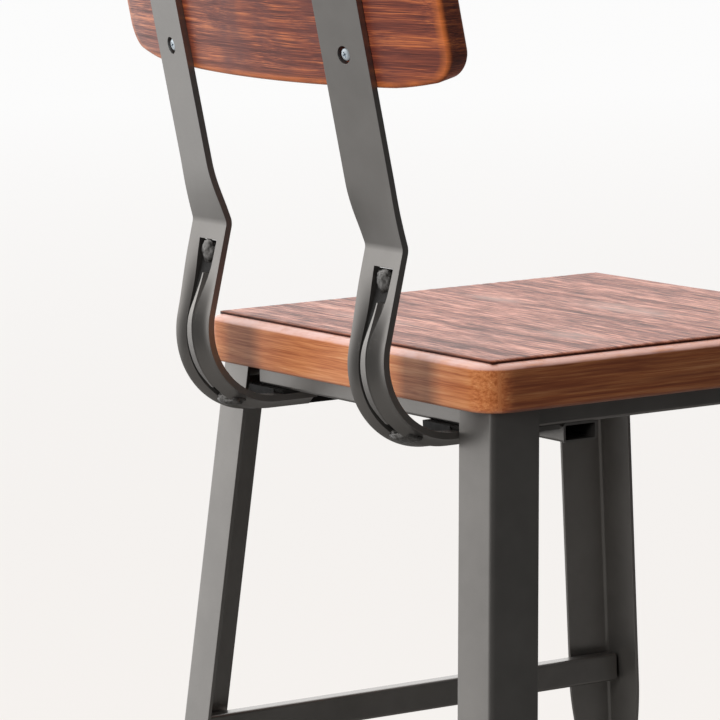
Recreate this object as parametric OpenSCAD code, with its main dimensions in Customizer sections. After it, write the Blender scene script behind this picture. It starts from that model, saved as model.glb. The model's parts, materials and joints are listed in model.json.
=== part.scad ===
// Bar stool with a wooden seat and backrest on a folded-angle steel frame.
// +Z is up and the sitter faces -Y, so left pieces are on +X and right pieces on -X.
// The origin is on the floor, at the middle of the stool's bounding box.

/* [Seat] */
// Height of the sitting surface above the floor
seat_h = 760; // [640:1:800]
// Width of the seat board, side to side
seat_w = 400; // [380:1:440]
// Depth of the seat board, front to back
seat_d = 385; // [370:1:430]
// Thickness of the seat board without its raised panel
board_t = 35.4; // [28:0.1:42]
// Radius of the seat board's corners in plan
corner_r = 25; // [10:1:40]
// Drop of the rounded rim from the panel's foot to the board's side face
rim_drop = 3.2; // [1:0.1:5]
// Width of the rim left beside the raised panel
rim_side = 10; // [8:1:20]
// Width of the rim left in front of and behind the raised panel
rim_end = 12; // [8:1:20]
// Height of the raised panel above the rim
panel_t = 3; // [1:0.1:5]

/* [Legs] */
// Width of each flange of the folded legs
flange_w = 40.5; // [34:0.5:48]
// Flange width at the foot, below the narrowing
foot_w = 28; // [22:1:34]
// Steel thickness of the legs
leg_t = 3; // [2:0.5:4]
// Outer radius of the fold
fold_r = 4; // [3.5:0.5:6]
// Angle by which each flange opens past square
fold_open = 2.5; // [0:0.5:5]
// Distance of the leg corner inside the seat edge, at the seat
leg_inset = 12.6; // [8:0.1:20]
// Outward travel of a leg sideways, per unit of height
splay_x = 0.103; // [0.05:0.001:0.13]
// Outward travel of a leg front to back, per unit of height
splay_y = 0.098; // [0.05:0.001:0.13]

/* [Frame] */
// Height of the rails under the seat
rail_h = 15; // [12:1:22]
// Width of the rails under the seat
rail_w = 15; // [12:1:20]
// Distance of the rails inside the outer faces of the legs
rail_inset = 2; // [1:0.5:4]
// Gap between the rear rail and the rear left leg's flange
rail_gap = 10; // [1:0.5:14]
// Height of the stretcher tubes
stretcher_h = 23; // [18:1:30]
// Width of the stretcher tubes
stretcher_w = 14; // [10:1:20]
// Height above the floor of the top of the side stretchers
side_stretcher_z = 434; // [380:1:480]
// Height above the floor of the top of the footrest and rear stretcher
footrest_z = 300; // [240:1:340]
// Side of the square footrest tube
footrest_s = 25; // [20:1:30]

/* [Back] */
// Width of the steel straps that carry the backrest
strap_w = 50; // [40:1:55]
// Thickness of the straps
strap_t = 5; // [4:0.5:6]
// Distance of each strap's centre from the middle of the stool
strap_x = 122.6; // [100:0.1:135]
// Backward lean of the upper straps
back_lean = 10.7; // [5:0.1:16]
// Outward turn of the upper straps about their own length
strap_fan = 7.4; // [0:0.1:10]
// Width of the slot in the lower strap
slot_w = 25; // [18:1:28]
// Width of the backrest, end to end
back_w = 446; // [400:1:460]
// Height of the backrest board along its lean
back_h = 150; // [120:1:180]
// Thickness of the backrest board
back_t = 21; // [18:1:30]
// Radius of the backrest's rounded corners
back_corner_r = 20; // [10:1:50]

/* [Hidden] */
$fn = 48;

STEEL = [0.42, 0.41, 0.39];
WOOD = [0.62, 0.36, 0.24];
DARK_WOOD = [0.40, 0.19, 0.13];
ZINC = [0.75, 0.77, 0.78];
PLASTIC = [0.09, 0.09, 0.09];

CLEAR = 0.2;                            // gap between pieces that only rest on each other

// Seat heights
rim_z = seat_h - panel_t;
under_z = rim_z - board_t;
rail_z = under_z - rail_h;

// Outer corner of a leg at height z, on the +X +Y side and before the shift in Y
function leg_x(z) = seat_w / 2 - leg_inset + splay_x * (under_z - z);
function leg_y(z) = seat_d / 2 - leg_inset + splay_y * (under_z - z);

// Leg shape: full width down to the side stretchers, then a smooth narrowing
GLIDE_T = 5;
GLIDE_LIP = 1;                          // rim of a glide beyond the leg
narrow_top = side_stretcher_z - stretcher_h + 2;
NARROW_L = 110;
function smooth(t) = t * t * (3 - 2 * t);
function flange(z) =
    let (t = min(1, max(0, (narrow_top - z) / NARROW_L)))
    flange_w + (foot_w - flange_w) * smooth(t);
LEG_STEPS = 10;
leg_levels = concat(
    [under_z - CLEAR],
    [for (i = [0:LEG_STEPS]) narrow_top - NARROW_L * i / LEG_STEPS],
    [GLIDE_T + CLEAR]
);

// Back: the strap's rear surface in the Y-Z plane, below the second bend
KINK_Z = seat_h + 79.5;
KINK_Y = 227.8;
BEND_Z = seat_h + 113;
BEND_Y = 238.4;
TIGHT_R = 60;                           // hook radius of the right prong
WIDE_R = 66;                            // hook radius of the left prong
HOOK_Y = 246.3;                         // rearmost point of both hooks
WIDE_DROP = 11.5;                       // the left prong runs this much lower
TIGHT_END_Y = 150;
WIDE_END_Y = 88;
SLOT_TOP = 13.7;                        // solid strap left between the kink and the slot
ARC_STEPS = 24;
PAD_T = 3;                              // pads between the rear rail and the straps
tight_z = rail_z - PAD_T - strap_t - 2 * CLEAR; // underside of the right prong's straight end
wide_z = tight_z - WIDE_DROP;           // underside of the left prong's straight end
strap_l = 215;                          // upper strap length above the second bend
board_lift = 86;                        // from the second bend to the backrest's lower edge
BACK_R = 910;                           // radius of the backrest's curve in plan
back_sag = BACK_R - sqrt(BACK_R * BACK_R - strap_x * strap_x);
SCREW_LIFTS = [21, 103];                // backrest screws above its lower edge
SCREW_STEP = 2.7;                       // right strap's screws up and left strap's down

// Shift in Y that puts the middle of the bounding box at the origin
back_reach = BEND_Y + (back_sag - strap_t) * cos(back_lean)
    + (board_lift + back_h) * sin(back_lean);
front_reach = leg_y(0) + GLIDE_LIP;
shift_y = (front_reach - back_reach) / 2;

// ---- Legs ----

FOLD_STEPS = 4;
// Section of a folded angle with its corner at the origin and flanges of width w
function angle_section(w, t, r, open) =
    let (
        u = [cos(open), -sin(open)],
        v = [-sin(open), cos(open)],
        inner = t + 1
    )
    [for (p = concat(
        [[w, 0], [w, t], [inner, t], [t, inner], [t, w], [0, w]],
        [for (i = [0:FOLD_STEPS])
            let (a = 180 + 90 * i / FOLD_STEPS)
            [r + r * cos(a), r + r * sin(a)]]
    )) p[0] * u + p[1] * v];

// Solid through equal sections, one at each height
module loft(sections) {
    n = len(sections[0]);
    m = len(sections);
    points = [for (s = sections) for (p = s) p];
    sides = [for (k = [0:m - 2]) for (i = [0:n - 1])
        let (j = (i + 1) % n)
        [k * n + i, k * n + j, (k + 1) * n + j, (k + 1) * n + i]];
    first = [[for (i = [n - 1:-1:0]) i]];
    last = [[for (i = [0:n - 1]) (m - 1) * n + i]];
    polyhedron(points = points, faces = concat(first, sides, last), convexity = 6);
}

// Leg on the side given by sx and sy, each 1 or -1
module leg(sx, sy) {
    sections = [for (z = leg_levels)
        [for (p = angle_section(flange(z), leg_t, fold_r, fold_open))
            [leg_x(z) - p[0], leg_y(z) - p[1], z]]];
    color(STEEL)
        translate([0, shift_y, 0])
            mirror([sx < 0 ? 1 : 0, 0, 0])
                mirror([0, sy < 0 ? 1 : 0, 0])
                    loft(sections);
}

// Plastic glide: a base under the leg and a low plug in its fold
PLUG_H = 10;
PLUG_GAP = 1.5;
module glide(sx, sy) {
    base = foot_w + GLIDE_LIP;
    start = leg_t + PLUG_GAP;
    plug = foot_w - 6;
    color(PLASTIC)
        translate([0, shift_y, 0])
            mirror([sx < 0 ? 1 : 0, 0, 0])
                mirror([0, sy < 0 ? 1 : 0, 0])
                    translate([leg_x(0), leg_y(0), 0])
                        rotate(180)
                            union() {
                                linear_extrude(GLIDE_T)
                                    polygon([
                                        [-GLIDE_LIP, -GLIDE_LIP], [base, -GLIDE_LIP],
                                        [base, base * 0.45], [base * 0.45, base],
                                        [-GLIDE_LIP, base],
                                    ]);
                                linear_extrude(GLIDE_T + PLUG_H)
                                    polygon([[start, start], [plug, start], [start, plug]]);
                            }
}

// ---- Rails and stretchers ----

WALL = 1.8;
// Rectangular tube along X, centred on X, with its lower rear corner at y, z
module tube_x(length, w, h) {
    rotate([90, 0, 90])
        translate([0, 0, -length / 2])
            linear_extrude(length)
                tube_section(w, h);
}

// Tube section with rounded corners
module tube_section(w, h) {
    difference() {
        rounded_rect(w, h, 2.5);
        translate([WALL, WALL])
            rounded_rect(w - 2 * WALL, h - 2 * WALL, 1);
    }
}

// Rectangle with round corners, built from true circles
module rounded_rect(w, h, r) {
    union() {
        translate([r, 0])
            square([w - 2 * r, h]);
        translate([0, r])
            square([w, h - 2 * r]);
        for (x = [r, w - r], y = [r, h - r])
            translate([x, y])
                circle(r);
    }
}

// Tube across the stool at front or rear; out is its outer face's distance from the middle
module cross_tube(sy, out, z, length, w, h) {
    color(STEEL)
        translate([0, shift_y, 0])
            mirror([0, sy < 0 ? 1 : 0, 0])
                translate([0, out - w, z])
                    tube_x(length, w, h);
}

// Tube along one side of the stool
module side_tube(sx, out, z, length, w, h) {
    color(STEEL)
        translate([0, shift_y, 0])
            mirror([sx < 0 ? 1 : 0, 0, 0])
                translate([out - w, 0, z])
                    rotate([0, 0, 90])
                        mirror([0, 1, 0])
                            tube_x(length, w, h);
}

rail_top = under_z - CLEAR;
rail_out_x = leg_x(under_z) - rail_inset;
rail_out_y = leg_y(under_z) - rail_inset;
rail_end_x = leg_x(under_z) - flange_w - CLEAR;
rail_end_y = leg_y(under_z) - flange_w - CLEAR;

// Rail across the front or rear, stopping gap short of the left leg's flange
module end_rail(sy, gap) {
    translate([-gap / 2, 0, 0])
        cross_tube(sy, rail_out_y, rail_z, 2 * rail_end_x - gap, rail_w, rail_top - rail_z);
}

module side_rail(sx) {
    side_tube(sx, rail_out_x, rail_z, 2 * rail_end_y, rail_w, rail_top - rail_z);
}

// Flat tube under the side rails that carries the ends of the left prongs
CROSS_W = 30;
module cross_bar() {
    low = wide_z + strap_t + CLEAR;
    color(STEEL)
        translate([0, WIDE_END_Y - 4 + shift_y, low])
            tube_x(2 * rail_out_x - 6, CROSS_W, rail_z - CLEAR - low);
}

side_out = leg_x(side_stretcher_z) - leg_t - 0.6;
module side_stretcher(sx) {
    side_tube(sx, side_out, side_stretcher_z - stretcher_h,
        2 * (leg_y(side_stretcher_z) - leg_t - 1.5), stretcher_w, stretcher_h);
}

foot_out = leg_y(footrest_z) - leg_t - 0.6;
foot_len = 2 * (leg_x(footrest_z) - leg_t - 1.5);
module rear_stretcher() {
    cross_tube(1, foot_out, footrest_z - stretcher_h, foot_len, stretcher_w, stretcher_h);
}

module footrest_bar() {
    cross_tube(-1, foot_out, footrest_z - footrest_s, foot_len, footrest_s, footrest_s);
}

// Plate welded under the rails in each corner, for the seat screws
PLATE_T = 3.5;
PLATE_X = 34;
PLATE_Y = 58;
PLATE_CUT = 14;
SEAT_SCREW_X = 22;
SEAT_SCREW_Y = 36;
SEAT_SCREW_R = 2.75;
plate_x = leg_x(under_z) - leg_t - 1;
plate_y = leg_y(under_z) - leg_t - 1;
module corner_plate(sx, sy) {
    color(STEEL)
        translate([0, shift_y, rail_z - CLEAR - PLATE_T])
            mirror([sx < 0 ? 1 : 0, 0, 0])
                mirror([0, sy < 0 ? 1 : 0, 0])
                    translate([plate_x, plate_y, 0])
                        rotate(180)
                            difference() {
                                linear_extrude(PLATE_T)
                                    polygon([
                                        [0, 0], [PLATE_X, 0], [PLATE_X, PLATE_Y - PLATE_CUT],
                                        [PLATE_X - PLATE_CUT, PLATE_Y], [0, PLATE_Y],
                                    ]);
                                translate([SEAT_SCREW_X, SEAT_SCREW_Y, -1])
                                    cylinder(h = PLATE_T + 2, r = SEAT_SCREW_R);
                            }
}

// ---- Wooden parts ----

// Seat board with rounded corners and a low rounded rim
LOW_R = 2.5;
RIM_R = (rim_side * rim_side + rim_drop * rim_drop) / (2 * rim_drop);
module seat_board() {
    color(WOOD)
        translate([0, shift_y, under_z])
            hull()
                for (x = [-1, 1], y = [-1, 1])
                    translate([x * (seat_w / 2 - corner_r), y * (seat_d / 2 - corner_r), 0])
                        rotate_extrude()
                            board_profile();
}

// Half section through a corner of the seat board, from the corner's axis outwards
module board_profile() {
    intersection() {
        union() {
            translate([0, LOW_R])
                square([corner_r, board_t]);
            square([corner_r - LOW_R, board_t]);
            translate([corner_r - LOW_R, LOW_R])
                circle(LOW_R, $fn = 16);
        }
        union() {
            square([corner_r - rim_side, board_t]);
            square([corner_r, board_t - rim_drop]);
            intersection() {
                translate([corner_r - rim_side, board_t - RIM_R])
                    circle(RIM_R, $fn = 96);
                square([corner_r, board_t]);
            }
        }
    }
}

// Thin raised panel on the seat board
module seat_panel() {
    w = seat_w - 2 * rim_side;
    d = seat_d - 2 * rim_end;
    color(WOOD)
        translate([-w / 2, -d / 2 + shift_y, rim_z])
            linear_extrude(panel_t)
                rounded_rect(w, d, 3);
}

// Places its children in the leaning frame whose origin is at the straps' second bend
module back_frame() {
    translate([0, BEND_Y + shift_y, BEND_Z])
        rotate([-back_lean, 0, 0])
            children();
}

// Front view outline of the backrest board, drawn about its middle
module back_outline() {
    translate([-back_w / 2, 0])
        rounded_rect(back_w, back_h, back_corner_r);
}

// Curved backrest board in front of the straps
module backrest_board() {
    rear = back_sag - strap_t;
    color(DARK_WOOD)
        back_frame()
            intersection() {
                translate([0, rear + 60, board_lift])
                    rotate([90, 0, 0])
                        linear_extrude(160)
                            back_outline();
                translate([0, rear - BACK_R, board_lift - 1])
                    difference() {
                        cylinder(h = back_h + 2, r = BACK_R - CLEAR, $fn = 360);
                        translate([0, 0, -1])
                            cylinder(h = back_h + 4, r = BACK_R - back_t, $fn = 360);
                    }
            }
}

// ---- Straps ----

// Rear surface of a strap in the Y-Z plane: from the kink straight to a hook of radius r,
// round it, and forward along its underside at height z to end_y
function hook_path(r, z, end_y) =
    let (
        cy = HOOK_Y - r,
        cz = z + r,
        dy = cy - KINK_Y,
        dz = cz - KINK_Z,
        heading = atan2(dz, dy) + asin(r / norm([dy, dz])),
        start = heading + 90,
        sweep = -90 - start
    )
    concat(
        [[KINK_Y, KINK_Z]],
        [for (i = [0:ARC_STEPS])
            let (a = start + sweep * i / ARC_STEPS)
            [cy + r * cos(a), cz + r * sin(a)]],
        [[end_y, z]]
    );

// Unit normal of a path at point i, to the left of its direction
function path_normal(path, i) =
    let (
        a = path[max(0, i - 1)],
        b = path[min(len(path) - 1, i + 1)],
        d = b - a
    )
    [-d[1], d[0]] / norm(d);

// Band of thickness t on the inner side of a path
function band(path, t) = concat(
    path,
    [for (i = [len(path) - 1:-1:0]) path[i] - t * path_normal(path, i)]
);

// Upright plate from a Y-Z outline, from x0 to x1
module yz_plate(x0, x1, outline) {
    translate([x0, 0, 0])
        rotate([90, 0, 90])
            linear_extrude(x1 - x0)
                polygon(outline);
}

// The two prongs of a strap in its own X, a hair thinner than the head they run up into
SKIN = 0.05;
PRONG_LAP = 6;
module prongs() {
    half = strap_w / 2 - SKIN;
    difference() {
        union() {
            prong(-half, -slot_w / 2, TIGHT_R, tight_z, TIGHT_END_Y);
            prong(slot_w / 2, half, WIDE_R, wide_z, WIDE_END_Y);
        }
        translate([-strap_w, 0, KINK_Z - SLOT_TOP + PRONG_LAP])
            cube([2 * strap_w, 2 * KINK_Y, 2 * SLOT_TOP]);
    }
}

module prong(x0, x1, r, z, end_y) {
    path = hook_path(r, z, end_y);
    inset = [for (i = [0:len(path) - 1]) path[i] - SKIN * path_normal(path, i)];
    yz_plate(x0, x1, band(inset, strap_t - 2 * SKIN));
}

// Corners of a strap's cross-section at a point of its rear surface, in its own X
function strap_corners(y, z, lean, fan) =
    let (
        u = [cos(fan), sin(fan) * cos(lean), -sin(fan) * sin(lean)],
        v = [-sin(fan), cos(fan) * cos(lean), -cos(fan) * sin(lean)]
    )
    [for (p = [[-1, 0], [1, 0], [1, -1], [-1, -1]])
        [0, y, z] + p[0] * strap_w / 2 * u + p[1] * strap_t * v];

// Solid strap above the slot: head, neck turning to the fan angle, and straight upper part
module strap_plate() {
    path = hook_path(TIGHT_R, tight_z, TIGHT_END_Y);
    down = (path[1] - path[0]) / norm(path[1] - path[0]);
    tilt = atan2(-down[0], -down[1]);
    neck = atan2(BEND_Y - KINK_Y, BEND_Z - KINK_Z);
    up = [sin(back_lean), cos(back_lean)];
    loft([
        strap_corners(KINK_Y + SLOT_TOP * down[0], KINK_Z + SLOT_TOP * down[1], tilt, 0),
        strap_corners(KINK_Y, KINK_Z, (tilt + neck) / 2, 0),
        strap_corners(BEND_Y, BEND_Z, back_lean, strap_fan),
        strap_corners(BEND_Y + strap_l * up[0], BEND_Z + strap_l * up[1], back_lean, strap_fan),
    ]);
}

SCREW_HOLE_R = 6.7;
module back_strap(sx) {
    color(STEEL)
        translate([sx * strap_x, shift_y, 0])
            union() {
                prongs();
                mirror([sx > 0 ? 1 : 0, 0, 0])
                    difference() {
                        strap_plate();
                        at_screws(-sx * SCREW_STEP)
                            translate([0, 0, -2 * strap_t])
                                cylinder(h = 3 * strap_t, r = SCREW_HOLE_R);
                    }
            }
}

// Places its children at the screws of the right strap, with +Z out of its rear face
module at_screws(step) {
    translate([0, BEND_Y, BEND_Z])
        rotate([-back_lean, 0, 0])
            for (lift = SCREW_LIFTS)
                translate([0, 0, board_lift + lift + step])
                    rotate([0, 0, strap_fan])
                        rotate([-90, 0, 0])
                            children();
}

// Stiffening rib beside the right prong, on a backing that closes the slot from behind
RIB_X0 = -slot_w / 2 + CLEAR;
RIB_X1 = -5;
RIB_RISE = 4;                           // out of the strap's rear surface
RIB_FLOOR = 8;                          // rear surface of the backing, below the strap's
BACKING_T = 4;
RIB_TIP = 35;                           // top of the rib, below the kink
RIB_FOOT = 20;                          // above the underside of the right prong's end
module strap_rib(sx) {
    slot_end = KINK_Z - SLOT_TOP - CLEAR;
    color(STEEL)
        translate([sx * strap_x, shift_y, 0])
            union() {
                rib_layer(RIB_X0, RIB_X1, -RIB_RISE, RIB_FLOOR + BACKING_T, KINK_Z - RIB_TIP);
                rib_layer(RIB_X0, -RIB_X0, RIB_FLOOR, BACKING_T, slot_end);
            }
}

// Layer of the rib from x0 to x1 that starts depth inside the strap's rear surface
module rib_layer(x0, x1, depth, t, top) {
    path = hook_path(TIGHT_R, tight_z, TIGHT_END_Y);
    face = [for (i = [0:len(path) - 1]) path[i] - depth * path_normal(path, i)];
    intersection() {
        yz_plate(x0, x1, band(face, depth < 0 ? t - depth : t));
        translate([-strap_w, 0, tight_z + RIB_FOOT])
            cube([2 * strap_w, 2 * KINK_Y, top - RIB_FOOT - tight_z]);
    }
}

// Pad between the rear rail and the prongs welded under it, deeper over the left prong
PAD_Y = 182;
PAD_L = 64;
module strap_pad(sx) {
    top = rail_z - CLEAR;
    step_z = wide_z + strap_t + CLEAR;
    step_x = -slot_w / 2 + CLEAR;
    color(STEEL)
        translate([sx * strap_x, PAD_Y - PAD_L + shift_y, 0])
            union() {
                translate([-strap_w / 2, 0, top - PAD_T])
                    cube([strap_w, PAD_L, PAD_T]);
                translate([step_x, 0, step_z])
                    cube([strap_w / 2 - step_x, PAD_L, top - step_z]);
            }
}

// ---- Screws ----

HEAD_R = 4.8;
HEAD_H = 4;
module backrest_screws() {
    color(ZINC)
        for (side = [0, 1])
            translate([0, shift_y, 0])
                mirror([side, 0, 0])
                    translate([-strap_x, 0, 0])
                        at_screws(side == 1 ? -SCREW_STEP : SCREW_STEP)
                            translate([0, 0, -strap_t]) {
                                cylinder(h = HEAD_H, r = HEAD_R);
                                translate([0, 0, -18])
                                    cylinder(h = 18.5, r = 2);
                            }
}

module seat_screws() {
    x0 = plate_x - SEAT_SCREW_X;
    y0 = plate_y - SEAT_SCREW_Y;
    length = PLATE_T + rail_h + 16;
    color(ZINC)
        for (x = [-1, 1], y = [-1, 1])
            translate([x * x0, y * y0 + shift_y, rail_z - CLEAR - PLATE_T]) {
                translate([0, 0, -3])
                    cylinder(h = 3, r = 5.5);
                translate([0, 0, -0.5])
                    cylinder(h = length, r = SEAT_SCREW_R - CLEAR);
            }
}

seat_board();
seat_panel();
backrest_board();
back_strap(1);  // back_strap_left
back_strap(-1);  // back_strap_right
strap_rib(1);  // strap_rib_left
strap_rib(-1);  // strap_rib_right
strap_pad(1);  // strap_pad_left
strap_pad(-1);  // strap_pad_right
leg(1, 1);  // rear_leg_left
leg(-1, 1);  // rear_leg_right
leg(1, -1);  // front_leg_left
leg(-1, -1);  // front_leg_right
end_rail(1, rail_gap);  // rear_rail
end_rail(-1, 0);  // front_rail
side_rail(1);  // side_rail_left
side_rail(-1);  // side_rail_right
cross_bar();
side_stretcher(1);  // side_stretcher_left
side_stretcher(-1);  // side_stretcher_right
rear_stretcher();
footrest_bar();
corner_plate(1, 1);  // corner_plate_rear_left
corner_plate(-1, 1);  // corner_plate_rear_right
corner_plate(1, -1);  // corner_plate_front_left
corner_plate(-1, -1);  // corner_plate_front_right
glide(1, 1);  // glide_rear_left
glide(-1, 1);  // glide_rear_right
glide(1, -1);  // glide_front_left
glide(-1, -1);  // glide_front_right
seat_screws();
backrest_screws();
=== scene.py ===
import json
import math
import random

import bmesh
import bpy
import numpy as np
from mathutils import Matrix, Vector, noise

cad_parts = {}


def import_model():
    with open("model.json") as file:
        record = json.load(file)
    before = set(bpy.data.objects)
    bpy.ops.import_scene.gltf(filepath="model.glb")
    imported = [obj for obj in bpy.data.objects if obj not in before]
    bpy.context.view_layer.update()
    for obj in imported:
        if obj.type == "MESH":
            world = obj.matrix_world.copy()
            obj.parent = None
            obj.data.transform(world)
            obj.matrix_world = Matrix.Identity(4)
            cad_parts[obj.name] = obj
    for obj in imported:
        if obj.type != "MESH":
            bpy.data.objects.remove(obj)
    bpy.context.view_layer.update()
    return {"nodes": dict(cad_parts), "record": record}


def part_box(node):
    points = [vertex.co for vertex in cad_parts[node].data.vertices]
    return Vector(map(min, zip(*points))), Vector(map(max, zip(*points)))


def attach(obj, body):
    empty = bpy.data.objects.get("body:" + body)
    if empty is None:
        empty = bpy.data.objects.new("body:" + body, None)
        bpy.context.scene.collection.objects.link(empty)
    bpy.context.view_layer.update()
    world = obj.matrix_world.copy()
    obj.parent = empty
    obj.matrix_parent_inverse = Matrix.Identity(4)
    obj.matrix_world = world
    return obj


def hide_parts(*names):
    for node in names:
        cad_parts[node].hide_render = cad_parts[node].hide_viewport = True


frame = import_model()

MM = 0.001


# ------------------------ helpers
def piece(name, verts, faces, node, material, shade_smooth=True):
    """Makes a mesh piece from points in metres, rides it on the frame and gives it its material.
    node is the CAD node that it replaces, or None."""
    mesh = bpy.data.meshes.new(name)
    mesh.from_pydata([tuple(v) for v in verts], [], faces)
    mesh.validate()
    bm = bmesh.new()
    bm.from_mesh(mesh)
    bmesh.ops.recalc_face_normals(bm, faces=bm.faces)
    bm.to_mesh(mesh)
    bm.free()
    if shade_smooth:
        mesh.polygons.foreach_set("use_smooth", [True] * len(mesh.polygons))
    obj = bpy.data.objects.new(name, mesh)
    bpy.context.scene.collection.objects.link(obj)
    mesh.materials.append(material)
    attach(obj, "root")
    if node:
        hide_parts(node)
    return obj


def bevel(obj, width, segments, angle):
    mod = obj.modifiers.new("edge", "BEVEL")
    mod.width = width * MM
    mod.segments = segments
    mod.limit_method = "ANGLE"
    mod.angle_limit = math.radians(angle)
    mod.harden_normals = True
    return obj


def tube(levels, n, base=0, caps=True):
    """Faces between levels of n points each, the first level starting at vertex base."""
    rows = [base + k * n for k in range(levels)]
    faces = [(a + i, a + (i + 1) % n, b + (i + 1) % n, b + i)
             for a, b in zip(rows, rows[1:]) for i in range(n)]
    if caps:
        faces += [tuple(range(row, row + n)) for row in (rows[0], rows[-1])]
    return faces


def box_of(node):
    low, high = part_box(node)
    return Vector(low), Vector(high)


# ------------------------ sizes, in millimetres
seat_low, seat_high = (v / MM for v in box_of("seat_board"))
panel_low, panel_high = (v / MM for v in box_of("seat_panel"))
SHIFT_Y = (seat_low.y + seat_high.y) / 2
UNDER_Z = seat_low.z
RIM_Z = seat_high.z
SEAT_H = panel_high.z
SEAT_W = seat_high.x - seat_low.x
SEAT_D = seat_high.y - seat_low.y

FLANGE, FOOT = 40.5, 28.0               # width of a leg's flanges above, and at the foot
LEG_T, FOLD_R = 3.0, 4.0                # leg's sheet and outer fold radius
OPEN = 2.5                              # degrees that each flange opens past square
SPLAY_X, SPLAY_Y = 0.103, 0.098         # how far a leg goes out for each unit of height
LEG_INSET = 12.6                        # from the seat board's side to the leg, at the board's underside
STRAP_W, STRAP_T, STRAP_X = 50.0, 5.0, 122.6
FAN, LEAN = 7.4, 10.7                   # degrees, about the vertical and backwards, above the bend
SLOT = 25.0                             # width of the slot
KINK = (227.8, SEAT_H + 79.5)           # corners of a strap's rear surface, y and z
BEND = (238.4, SEAT_H + 113.0)
RAIL_Z = box_of("rear_rail")[0].z / MM


def leg_x(z):
    return SEAT_W / 2 - LEG_INSET + SPLAY_X * (UNDER_Z - z)


def leg_y(z):
    return SEAT_D / 2 - LEG_INSET + SPLAY_Y * (UNDER_Z - z)


# ------------------------ materials
def new_material(name):
    mat = bpy.data.materials.new(name)
    mat.use_nodes = True
    nt = mat.node_tree
    for n in list(nt.nodes):
        if n.type != "BSDF_PRINCIPLED" and n.type != "OUTPUT_MATERIAL":
            nt.nodes.remove(n)
    return mat, nt, nt.nodes["Principled BSDF"]


class Graph:
    """Short names for the few node kinds that the materials use."""

    def __init__(self, nt):
        self.nt = nt

    def node(self, kind, **settings):
        n = self.nt.nodes.new(kind)
        for k, v in settings.items():
            setattr(n, k, v)
        return n

    def link(self, a, b):
        self.nt.links.new(a, b)

    def value(self, socket, v):
        if isinstance(v, (int, float, tuple, list)):
            socket.default_value = v
        else:
            self.link(v, socket)

    def position(self):
        return self.node("ShaderNodeTexCoord").outputs["Object"]

    def scaled(self, vector, scale):
        n = self.node("ShaderNodeMapping")
        self.link(vector, n.inputs["Vector"])
        n.inputs["Scale"].default_value = scale
        return n.outputs["Vector"]

    def noise(self, vector, scale, detail, rough):
        n = self.node("ShaderNodeTexNoise")
        self.link(vector, n.inputs["Vector"])
        n.inputs["Scale"].default_value = scale
        n.inputs["Detail"].default_value = detail
        n.inputs["Roughness"].default_value = rough
        return n.outputs["Fac"]

    def ramp(self, fac, stops):
        n = self.node("ShaderNodeValToRGB")
        self.link(fac, n.inputs["Fac"])
        e = n.color_ramp.elements
        while len(e) < len(stops):
            e.new(0.5)
        for el, (p, c) in zip(e, stops):
            el.position = p
            el.color = (*c, 1) if isinstance(c, tuple) else (c, c, c, 1)
        return n.outputs["Color"]

    def range(self, fac, a, b, c=0.0, d=1.0):
        n = self.node("ShaderNodeMapRange", clamp=True)
        self.link(fac, n.inputs["Value"])
        for key, v in zip(("From Min", "From Max", "To Min", "To Max"), (a, b, c, d)):
            n.inputs[key].default_value = v
        return n.outputs["Result"]

    def math(self, op, a, b=None):
        n = self.node("ShaderNodeMath", operation=op)
        self.value(n.inputs[0], a)
        if b is not None:
            self.value(n.inputs[1], b)
        return n.outputs[0]

    def mix(self, fac, a, b, mode="MIX"):
        n = self.node("ShaderNodeMix", data_type="RGBA", blend_type=mode)
        self.value(n.inputs[0], fac)
        for sock, v in ((n.inputs[6], a), (n.inputs[7], b)):
            self.value(sock, (*v, 1) if isinstance(v, tuple) and len(v) == 3 else v)
        return n.outputs[2]

    def attribute(self, name):
        return self.node("ShaderNodeAttribute", attribute_name=name).outputs["Fac"]

    def separate(self, vector):
        n = self.node("ShaderNodeSeparateXYZ")
        self.link(vector, n.inputs[0])
        return n.outputs

    def bump(self, height, strength, distance, normal=None):
        n = self.node("ShaderNodeBump")
        self.link(height, n.inputs["Height"])
        n.inputs["Strength"].default_value = strength
        n.inputs["Distance"].default_value = distance
        if normal is not None:
            self.link(normal, n.inputs["Normal"])
        return n.outputs["Normal"]


def steel_material(name, tint=(1.0, 0.95, 0.90)):
    """Satin gunmetal coat: fine orange peel, faint rolling marks and uneven gloss."""
    mat, nt, bsdf = new_material(name)
    g = Graph(nt)
    p = g.position()
    cloud = g.noise(p, 14, 3, 0.6)
    fine = g.noise(p, 900, 2, 0.5)
    speck = g.noise(p, 2600, 1, 0.5)
    dark = tuple(0.235 * t for t in tint)
    light = tuple(0.28 * t for t in tint)
    base = g.mix(g.range(cloud, 0.35, 0.65), dark, light)
    base = g.mix(g.range(speck, 0.62, 0.78, 0.0, 0.35), base, tuple(0.33 * t for t in tint))
    g.link(base, bsdf.inputs["Base Color"])
    bsdf.inputs["Metallic"].default_value = 0.85
    rough = g.math("ADD", g.range(cloud, 0.3, 0.7, 0.31, 0.37), g.range(fine, 0.3, 0.7, -0.03, 0.03))
    g.link(rough, bsdf.inputs["Roughness"])
    g.link(g.bump(fine, 0.10, 0.0002, g.bump(speck, 0.06, 0.0001)), bsdf.inputs["Normal"])
    return mat


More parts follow.
